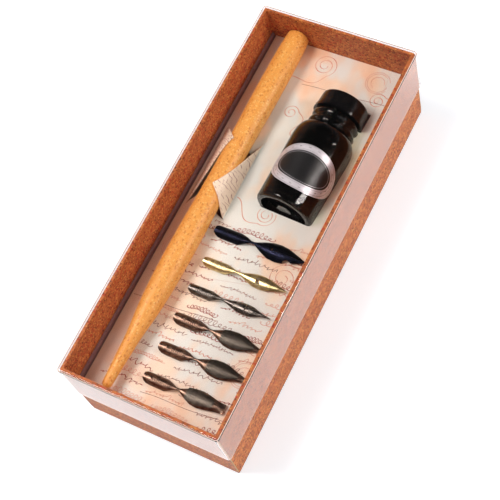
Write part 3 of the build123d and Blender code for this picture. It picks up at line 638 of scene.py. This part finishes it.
# New meshes
def placed(name, data):
    """A new object in the scene."""
    piece = bpy.data.objects.new(name, data)
    bpy.context.scene.collection.objects.link(piece)
    return piece


def linked_mesh(name, verts, faces, material):
    """A mesh object from points in millimetres."""
    mesh = bpy.data.meshes.new(name)
    mesh.from_pydata((np.asarray(verts) * MM).tolist(), [], faces)
    mesh.update()
    mesh.materials.append(material)
    return placed(name, mesh)


def new_piece(name, verts, faces, material, body):
    """A mesh object that rides a body."""
    piece = linked_mesh(name, verts, faces, material)
    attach(piece, body)
    return piece


def smooth(piece, degrees):
    """Shade a piece smooth up to an angle between its faces."""
    piece.data.shade_smooth()
    piece.data.set_sharp_from_angle(angle=math.radians(degrees))


def headings(path):
    """Unit directions along a path."""
    ahead = np.gradient(path, axis=0)
    return ahead / np.maximum(np.linalg.norm(ahead, axis=1, keepdims=True), 1e-9)


def turned_path(path, origin, turn):
    """A path turned about its start and moved to its origin."""
    c, s = math.cos(turn), math.sin(turn)
    return path @ np.array([[c, s], [-s, c]]) + np.array(origin)


def tube_along(points, radius, sides=8, start=0):
    """Closed tube round a polyline. At each point a ring of that radius stands square to the line's
    direction: centre plus radius times cosine and sine along the two cross directions."""
    points = np.asarray(points, dtype=float)
    ahead = headings(points)
    hint = np.where(np.abs(ahead[:, 2:]) < 0.9, [[0.0, 0.0, 1.0]], [[0.0, 1.0, 0.0]])
    side = np.cross(ahead, hint)
    side /= np.linalg.norm(side, axis=1, keepdims=True)
    up = np.cross(side, ahead)
    turn = np.arange(sides) * 2 * math.pi / sides
    spread = np.cos(turn)[None, :, None] * side[:, None] + np.sin(turn)[None, :, None] * up[:, None]
    rings = points[:, None] + radius * spread
    i, j = np.meshgrid(np.arange(len(points) - 1), np.arange(sides), indexing="ij")
    first, beside = i * sides + j + start, i * sides + (j + 1) % sides + start
    quads = np.stack([first, first + sides, beside + sides, beside], axis=-1).reshape(-1, 4)
    front = np.arange(sides) + start
    back = (front + (len(points) - 1) * sides)[::-1]
    return rings.reshape(-1, 3), [*quads.tolist(), front.tolist(), back.tolist()]


def lid_fold_glints(name, material):
    """Pale fold lines inside the lid's sheet, partly the sheet's own whitening and partly a painted highlight along
    the lid's edges: round the top, round the hem, down the four corners.

    Each loop is a rectangle with quarter circles at its corners.
    """
    low, high = LID_LOW / MM, LID_HIGH / MM
    t = np.linspace(0.0, math.pi / 2, 7)
    arc = np.stack([np.cos(t), np.sin(t)], axis=1) * LID_CORNER
    signs = ((1, 1), (-1, 1), (-1, -1), (1, -1))

    def loop(inset, z):
        half = np.array([high.x, high.y]) - inset - LID_CORNER
        quarters = [turned_path(arc, half * sign, k * math.pi / 2) for k, sign in enumerate(signs)]
        flat = np.concatenate([*quarters, quarters[0][:1]])
        return np.column_stack([flat, np.full(len(flat), z)])

    reach = HEM_DEPTH + LID_CORNER * (1 - math.sqrt(0.5))
    ends = (low.z + POST_ENDS[0], high.z - POST_ENDS[1])
    lines = [(loop(TOP_DEPTH, high.z - TOP_DEPTH), TOP_FOLD), (loop(HEM_DEPTH, low.z + HEM_HEIGHT), HEM_FOLD)]
    for right, back in signs:
        corner = (right * (high.x - reach), back * (high.y - reach))
        lines.append(([(*corner, z) for z in ends], POST_FOLD))
    verts, faces = [], []
    for points, radius in lines:
        more, loops = tube_along(points, radius, start=sum(map(len, verts)))
        verts.append(more)
        faces += loops
    new_piece(name, np.concatenate(verts), faces, material, "lid")


def neck_ink(name, material):
    """Ink that has run into the neck of the lying bottle: a cylinder that fills the bore."""
    steps = np.linspace(INK_END - 0.6, BOTTLE_MOUTH - 0.4, 5)
    verts, faces = tube_along(np.array(BOTTLE_CENTRE) + steps[:, None] * BOTTLE_AXIS, BOTTLE_BORE, 48)
    smooth(new_piece(name, verts, faces, material, "bottle"), 40)


def glass_round_ink(name, material):
    """The bottle's glass without its hidden cavity wall, so that the ink wets the glass.

    It is a copy of the CAD mesh. On the bottle's own axes a face belongs to the cavity where it faces
    the axis short of the mouth, or where it is the floor above the thick base.
    """
    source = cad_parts["bottle_glass"].data
    verts = np.zeros(len(source.vertices) * 3)
    source.vertices.foreach_get("co", verts)
    corners = np.zeros(len(source.loops), dtype=np.int64)
    source.loops.foreach_get("vertex_index", corners)
    rounded = np.round(verts.reshape(-1, 3) / MM, 4)
    places, index = np.unique(rounded, axis=0, return_inverse=True)
    faces = index.reshape(-1)[corners.reshape(-1, 3)]
    corner, second, third = (places[faces[:, k]] for k in range(3))
    normal = np.cross(second - corner, third - corner)
    size = np.linalg.norm(normal, axis=1)
    normal /= np.maximum(size, 1e-12)[:, None]
    away = places[faces].mean(axis=1) - np.array(BOTTLE_CENTRE)
    along = away @ BOTTLE_AXIS
    outward = away - along[:, None] * BOTTLE_AXIS
    radius = np.linalg.norm(outward, axis=1)
    facing = (normal * outward).sum(axis=1) / np.maximum(radius, 1e-9)
    wall = (facing < -0.05) & (along < BOTTLE_MOUTH - 0.2)
    floor = (normal @ BOTTLE_AXIS > 0.7) & (radius < CAVITY_RADIUS) & (along < CAVITY_FLOOR)
    keep = (size > 1e-12) & ~(wall | floor)
    piece = new_piece(name, places, faces[keep].tolist(), material, "bottle")
    smooth(piece, 32)
    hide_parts("bottle_glass")


# Printed strokes
def pen_width(path, hair, broad, slant=0.9):
    """Width of a broad-pen stroke: thin where the path runs along the pen's edge and wide across it."""
    ahead = np.gradient(path, axis=0)
    heading = np.arctan2(ahead[:, 1], ahead[:, 0])
    return hair + (broad - hair) * np.abs(np.sin(heading - slant)) ** 1.5


def between(value, low, high):
    """True where a value lies between two limits."""
    return (value > low) & (value < high)


def clear_of_cuts(points):
    """True where a card point is on the sheet and outside the bottle's window and the tongues' hole."""
    x, y = points[:, 0], points[:, 1]
    low, high = SHEET_LOW / MM, SHEET_HIGH / MM
    inside = between(x, low.x + SHEET_MARGIN, high.x - SHEET_MARGIN)
    inside &= between(y, low.y + SHEET_MARGIN, high.y - SHEET_MARGIN)
    away_x, away_y = x - BOTTLE_CENTRE[0], y - BOTTLE_CENTRE[1]
    across = away_x * math.cos(BOTTLE_TURN) + away_y * math.sin(BOTTLE_TURN)
    along = -away_x * math.sin(BOTTLE_TURN) + away_y * math.cos(BOTTLE_TURN)
    window = (np.abs(across) < WINDOW_HALF_WIDTH) & between(along, *WINDOW_ENDS)
    hole = between(x, *TONGUE_HOLE_X) & between(y, *TONGUE_HOLE_Y)
    return inside & ~window & ~hole


def lay_strokes(name, strokes, material, z):
    """One mesh of flat ribbons at a height. Each point of a path is moved half the width to either side,
    square to the path's direction; quads over the cuts are left out."""
    verts, faces, start = [], [], 0
    for path, width in strokes:
        ahead = headings(path)
        side = np.stack([-ahead[:, 1], ahead[:, 0]], axis=1) * (width / 2)[:, None]
        count = len(path)
        verts.append(np.column_stack([np.concatenate([path + side, path - side]), np.full(2 * count, z)]))
        first = np.arange(count - 1) + start
        quads = np.stack([first, first + count, first + count + 1, first + 1], axis=1)
        keep = clear_of_cuts(path)
        faces.append(quads[keep[:-1] & keep[1:]])
        start += 2 * count
    faces = np.concatenate(faces)
    used, index = np.unique(faces, return_inverse=True)
    faces = index.reshape(-1, 4).tolist()
    new_piece(name, np.concatenate(verts)[used], faces, material, "tray")


def practice_row(kind, origin, turn, run, height, rng):
    """Row of pen practice: loops, waves or hooks.

    Loops: the pen circles while its centre moves on. Waves: the sum of three sines of unlike pitch.
    Hooks: a sine, a quicker one that comes and goes, and now and then a tall narrow rise.
    """
    t = np.linspace(0.0, 1.0, int(run * ROW_POINTS))
    swell = 0.55 + 0.45 * np.sin(math.pi * t) + 0.25 * np.sin(2 * math.pi * (2.3 * t + rng.random()))
    pitch = height * rng.uniform(1.5, 2.2)
    phase = 2 * math.pi * run * t / pitch
    if kind == 0:
        step, rise = -0.95 * np.sin(phase), np.cos(phase)
    elif kind == 1:
        step = 0.4 * np.sin(phase + 0.8)
        rise = 0.45 * np.sin(phase) + 0.35 * np.sin(1.7 * phase + 1.0) + 0.3 * np.sin(0.43 * phase)
    else:
        step = 0.5 * np.sin(phase)
        rise = 0.45 * np.sin(phase) + 0.4 * np.sin(2.3 * phase + 0.5) * np.sin(0.31 * phase)
        rise += 1.3 * np.maximum(np.sin(0.23 * phase + 5.0 * rng.random()), 0.0) ** 9
    path = np.stack([run * t + height * step, height * swell * rise], axis=1)
    path[:, 0] += 0.35 * path[:, 1]
    path[:, 1] += 0.6 * np.sin(math.pi * t * 1.3)
    return turned_path(path, origin, turn)


def swash(origin, turn, radius, coils, sway):
    """Large flourish: a spiral whose radius shrinks steadily, led in by a long S-curve."""
    t = np.linspace(0.0, 1.0, 260)
    bend = sway * np.sin(2 * math.pi * t) * (1 - 0.3 * t)
    lead = radius * np.stack([-2.4 * (1 - t), bend], axis=1)[:-1]
    turns = 2 * math.pi * coils * t
    size = radius * 0.62 * (1 - 0.78 * t)
    spiral = np.stack([size * np.sin(turns), size[0] - size * np.cos(turns)], axis=1)
    return turned_path(np.concatenate([lead, spiral]), origin, turn)


def ring_path(origin, radius, low, high):
    """Arc of a slightly rippled circle between two angles in degrees."""
    t = np.linspace(math.radians(low), math.radians(high), 160)
    size = radius * (1 + 0.01 * np.sin(9 * t))
    return np.stack([origin[0] + size * np.cos(t), origin[1] + size * np.sin(t)], axis=1)


def long_line(y, low, high):
    """Nearly straight line that climbs to the right and waves a little."""
    t = np.linspace(0.0, 1.0, 80)
    return np.stack([low + (high - low) * t, y + 2.2 * t + 0.25 * np.sin(9 * t)], axis=1)


def practice_strokes(s, inks):
    """Share rows of practice out among the inks."""
    rng = np.random.default_rng(23)
    hair, broad, height = s.hair / MM, s.broad / MM, s.loop_height / MM
    for row in range(s.rows):
        y = FIRST_ROW + row * s.row_step / MM
        x = -ROW_END + rng.uniform(0.0, 8.0)
        while x < ROW_END:
            run = rng.uniform(9.0, 24.0)
            kind = int(rng.integers(0, 3))
            origin = (x, y + rng.uniform(-0.7, 0.7))
            turn = rng.uniform(0.03, 0.1)
            tall = height * rng.uniform(0.7, 1.2)
            path = practice_row(kind, origin, turn, run, tall, rng)
            lot = rng.random()
            wide = broad if lot < 0.45 else broad * 0.6
            ink = "red" if lot < 0.3 else "pink" if lot < 0.75 else "brown"
            inks[ink].append((path, pen_width(path, hair, wide)))
            x += run + rng.uniform(1.5, 7.0)


def drawn_strokes(s, inks):
    """Add the flourishes, rosettes and long lines."""
    hair, broad, radius = s.hair / MM, s.broad / MM, s.swash_radius / MM
    for origin, turn, part, coils, sway in SWASHES:
        path = swash(origin, turn, radius * part, coils, sway)
        inks["pink"].append((path, pen_width(path, hair * 0.8, broad * 0.9)))
    for origin, reach in ROSETTES:
        for part, low, high in ROSETTE_ARCS:
            path = ring_path(origin, reach * part, low, high)
            inks["pink"].append((path, np.full(len(path), hair * 0.9)))
    for y, low, high in LONG_LINES:
        path = long_line(y, low, high)
        inks["brown"].append((path, np.full(len(path), hair)))


# Operators
class SETBOX_OT_tray(bpy.types.Operator):
    """Cover the tray with flecked paper, inside and out."""

    bl_idname = "setbox.tray"
    bl_label = "Paper the tray"

    def execute(self, context):
        c = context.scene.set_box_colours
        dress(covering_paper("covering paper", c), "wrap_paper")
        dress(covering_paper("base paper", c), "base_paper")
        dress(pulp_board("pulp board", c.board, tint(96, 74, 76)), "tray_board")
        dress(pulp_board("strip board", c.strip, tint(74, 54, 58)), "side_strip")
        dress(pulp_board("corner tape", c.tape, tint(150, 120, 84), 1.6), "corner_stays")
        return {"FINISHED"}


class SETBOX_OT_lid(bpy.types.Operator):
    """Make the lid of clear sheet."""

    bl_idname = "setbox.lid"
    bl_label = "Clear the lid"

    def execute(self, context):
        c = context.scene.set_box_colours
        dress(clear_material("clear sheet", c.lid, 1.46, tint(250, 247, 246)), "lid")
        # Painted highlight: milky strips at the lid's folds, partly standing in for the bright glint along its edges.
        lid_fold_glints("lid_fold_glints", pulp_board("whitened fold and glint", c.fold, tint(236, 206, 194), 2.0))
        return {"FINISHED"}


class SETBOX_OT_card(bpy.types.Operator):
    """Print the card that stands up on its platform, and its two tongues."""

    bl_idname = "setbox.card"
    bl_label = "Print the card"

    def execute(self, context):
        c = context.scene.set_box_colours
        dress(printed_paper("printed paper", c), "printed_sheet", "tongue_left", "tongue_right")
        dress(pulp_board("white card", c.card, tint(214, 198, 170), 1.3), "platform_card")
        return {"FINISHED"}


class SETBOX_OT_strokes(bpy.types.Operator):
    """Draw pen practice strokes and flourishes on the printed sheet."""

    bl_idname = "setbox.strokes"
    bl_label = "Draw the strokes"

    def execute(self, context):
        c, s = context.scene.set_box_colours, context.scene.set_box_sizes
        inks = {"red": [], "pink": [], "brown": []}
        practice_strokes(s, inks)
        drawn_strokes(s, inks)
        looks = ((c.line_red, c.line_pink), (c.line_pink, c.peach), (c.line_brown, c.line_pink))
        for step, (ink, look) in enumerate(zip(inks, looks)):
            z = PRINT_Z + s.print_lift / MM + step * INK_STEP
            lay_strokes(f"print_strokes_{ink}", inks[ink], stroke_ink(f"{ink} strokes", *look), z)
        return {"FINISHED"}


class SETBOX_OT_pen(bpy.types.Operator):
    """Finish the wooden holder, its socket and the clip inside."""

    bl_idname = "setbox.pen"
    bl_label = "Finish the pen"

    def execute(self, context):
        c = context.scene.set_box_colours
        dress(turned_wood("turned wood", c), "pen_shaft")
        dress(worked_metal("socket steel", c.steel, 0.4, (1.0, 6.0, 1.0)), "pen_socket")
        dress(worked_metal("spring steel", tint(168, 166, 160), 0.32, (1.0, 6.0, 1.0)), "pen_clip")
        return {"FINISHED"}


class SETBOX_OT_bottle(bpy.types.Operator):
    """Finish the bottle, its ink, its cap and the liner."""

    bl_idname = "setbox.bottle"
    bl_label = "Finish the bottle"

    def execute(self, context):
        c = context.scene.set_box_colours
        glass = clear_material("bottle glass", c.glass, 1.5, tint(228, 234, 224))
        dress(glass, "bottle_glass")
        glass_round_ink("bottle_glass_wet", glass)
        ink = gloss_plastic("ink", c.ink, 0.08)
        dress(ink, "ink")
        neck_ink("neck_ink", ink)
        dress(gloss_plastic("black cap", c.cap, 0.07), "cap_shell")
        dress(pulp_board("liner foam", tint(232, 230, 222), tint(200, 196, 186), 2.0), "cap_liner")
        return {"FINISHED"}


class SETBOX_OT_label(bpy.types.Operator):
    """Print the label's ring and oval."""

    bl_idname = "setbox.label"
    bl_label = "Print the label"

    def execute(self, context):
        scene = context.scene
        dress(label_print("label print", scene.set_box_colours, scene.set_box_sizes), "bottle_label")
        return {"FINISHED"}


class SETBOX_OT_nibs(bpy.types.Operator):
    """Finish the six nibs and the three plates."""

    bl_idname = "setbox.nibs"
    bl_label = "Finish the nibs"

    def execute(self, context):
        c = context.scene.set_box_colours
        bronze = (c.bronze, 0.28, tint(48, 38, 34), 0.6)
        # ground, roughness, patina, its strength
        looks = {
            "nib_1": (c.blued, 0.27, tint(10, 10, 16), 0.7),
            "nib_2": (c.gilt, 0.26, tint(150, 126, 76), 0.5),
            "nib_3": (c.dark, 0.26, tint(38, 36, 34), 0.7),
        }
        for name in sorted(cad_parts):
            kind = name.split("_")[0]
            if kind not in ("nib", "reservoir"):
                continue
            low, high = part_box(name)
            label = name.replace("_", " ")
            if kind == "nib":
                ground, rough, patina, amount = looks.get(name, bronze)
                centre = (low.x / MM, (low.y + high.y) / 2 / MM, low.z / MM)
                steel = worked_metal(f"{label} steel", ground, rough, (6, 1, 1), patina, amount, centre, True)
            else:
                ground = darker(c.plate, BRIGHT_PLATE if name == "reservoir_6" else 1.0)
                steel = worked_metal(f"{label} plate", ground, 0.42, (4, 1, 1), tint(46, 46, 40), 0.4, low / MM)
            dress(steel, name)
        return {"FINISHED"}


class SETBOX_OT_stage(bpy.types.Operator):
    """Set up the camera, the lamps and the pale floor."""

    bl_idname = "setbox.stage"
    bl_label = "Set the stage"

    def execute(self, context):
        scene = context.scene
        stage = scene.set_box_stage
        self.camera(scene, stage)
        for name, towards, far, size, power, part, tone in LAMPS:
            self.lamp(name, towards, far, size, getattr(stage, power) * part, tone)
        self.world(scene, stage)
        self.floor(stage)
        scene.view_settings.view_transform = "Standard"
        return {"FINISHED"}

    def camera(self, scene, stage):
        """The line of sight leans by azimuth and elevation; the picture's axes turn about it by the roll."""
        az, el, roll = stage.azimuth, stage.elevation, stage.roll
        back = Vector((math.cos(el) * math.sin(az), -math.cos(el) * math.cos(az), math.sin(el)))
        right = (-back).cross(Vector((0, 0, 1))).normalized()
        up = right.cross(-back)
        across = right * math.cos(roll) + up * math.sin(roll)
        upward = up * math.cos(roll) - right * math.sin(roll)
        place = Vector((stage.target_x, 0, 0)) + back * stage.distance
        data = bpy.data.cameras.new("camera")
        data.lens, data.sensor_width = stage.lens, SENSOR_WIDTH
        data.clip_start, data.clip_end = CLIP_ENDS
        camera = placed("camera", data)
        rows = [[across[i], upward[i], back[i], place[i]] for i in range(3)]
        camera.matrix_world = Matrix([*rows, [0, 0, 0, 1]])
        scene.camera = camera

    def lamp(self, name, towards, far, size, power, tone):
        """A soft lamp, wide by high, that faces the box from a direction."""
        data = bpy.data.lights.new(name, "AREA")
        data.shape = "RECTANGLE"
        data.size, data.size_y = size
        data.energy, data.color = power, tone
        spot = Vector(towards).normalized() * far
        placed(name, data).matrix_world = Matrix.Translation(spot) @ spot.to_track_quat("Z", "Y").to_matrix().to_4x4()

    def world(self, scene, stage):
        """Even light. The camera and glass see it white; gloss sees its own horizon and ceiling."""
        world = bpy.data.worlds.new("studio")
        scene.world = world
        world.use_nodes = True
        tree = world.node_tree
        height = axes(tree, add(tree, "TexCoord").outputs["Generated"])[2]
        light = times(tree, remap(tree, height, -0.2, 1.0, 0.75, 1.15), stage.world)
        room = remap(tree, height, 0.1, 0.6, stage.shine, stage.ceiling, "SMOOTHSTEP")
        clear = ray_is(tree, "Is Camera Ray", "Is Transmission Ray")
        seen = add(tree, "Mix", {0: clear, 2: light, 3: 1.0}).outputs[0]
        path = add(tree, "LightPath").outputs
        mirrored = calc(tree, "MULTIPLY", path["Is Glossy Ray"], path["Glossy Depth"], clamp=True)
        strength = add(tree, "Mix", {0: mirrored, 2: seen, 3: room}).outputs[0]
        shade = tree.nodes["Background"]
        shade.inputs["Color"].default_value = (1.0, 1.0, 1.0, 1.0)
        tree.links.new(strength, shade.inputs["Strength"])

    def floor(self, stage):
        """A wide flat sheet just under the box; the camera sees it a little brighter than it is."""
        t = np.linspace(-FLOOR_HALF, FLOOR_HALF, FLOOR_POINTS)
        x, y = np.meshgrid(t, t, indexing="ij")
        verts = np.column_stack([x.ravel(), y.ravel(), np.full(x.size, FLOOR_Z)])
        step = np.arange(FLOOR_POINTS - 1)
        first = (step[:, None] * FLOOR_POINTS + step).ravel()
        across = first + FLOOR_POINTS
        faces = np.stack([first, across, across + 1, first + 1], axis=1).tolist()
        sockets = {"Roughness": 0.9, "Specular_IOR_Level": 0.1, "Emission_Color": FLOOR_GLOW}
        material, tree = finish("pale floor", **sockets)
        soft = remap(tree, noise(tree, local(tree), 0.02), 0.0, 1.0, 0.985, 1.0)
        ground = mix(tree, soft, darker(stage.floor, 0.97), stage.floor)
        seen = ray_is(tree, "Is Camera Ray", "Is Glossy Ray", "Is Transmission Ray")
        feed(material, Base_Color=ground, Emission_Strength=times(tree, seen, stage.lift))
        linked_mesh("floor", verts, faces, material)


STEPS = (
    SETBOX_OT_tray, SETBOX_OT_lid, SETBOX_OT_card, SETBOX_OT_strokes, SETBOX_OT_pen,
    SETBOX_OT_bottle, SETBOX_OT_label, SETBOX_OT_nibs, SETBOX_OT_stage,
)
SETTINGS = {"set_box_colours": SetBoxColours, "set_box_sizes": SetBoxSizes, "set_box_stage": SetBoxStage}


class SETBOX_PT_panel(bpy.types.Panel):
    """Lists the steps that dress the box, and their settings."""

    bl_idname = "SETBOX_PT_panel"
    bl_label = "Calligraphy Set Box"
    bl_space_type = "VIEW_3D"
    bl_region_type = "UI"
    bl_category = "Set Box"

    def draw(self, context):
        for step in STEPS:
            self.layout.operator(step.bl_idname)
        for group_name, cls in SETTINGS.items():
            box = self.layout.box()
            for name in cls.__annotations__:
                box.prop(getattr(context.scene, group_name), name)


CLASSES = (*SETTINGS.values(), *STEPS, SETBOX_PT_panel)


def register():
    for cls in CLASSES:
        bpy.utils.register_class(cls)
    for name, cls in SETTINGS.items():
        setattr(bpy.types.Scene, name, bpy.props.PointerProperty(type=cls))


def unregister():
    for name in SETTINGS:
        delattr(bpy.types.Scene, name)
    for cls in reversed(CLASSES):
        bpy.utils.unregister_class(cls)


def main():
    """Register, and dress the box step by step."""
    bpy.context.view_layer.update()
    register()
    for step in STEPS:
        area, name = step.bl_idname.split(".")
        getattr(getattr(bpy.ops, area), name)()


if __name__ == "__main__":
    main()
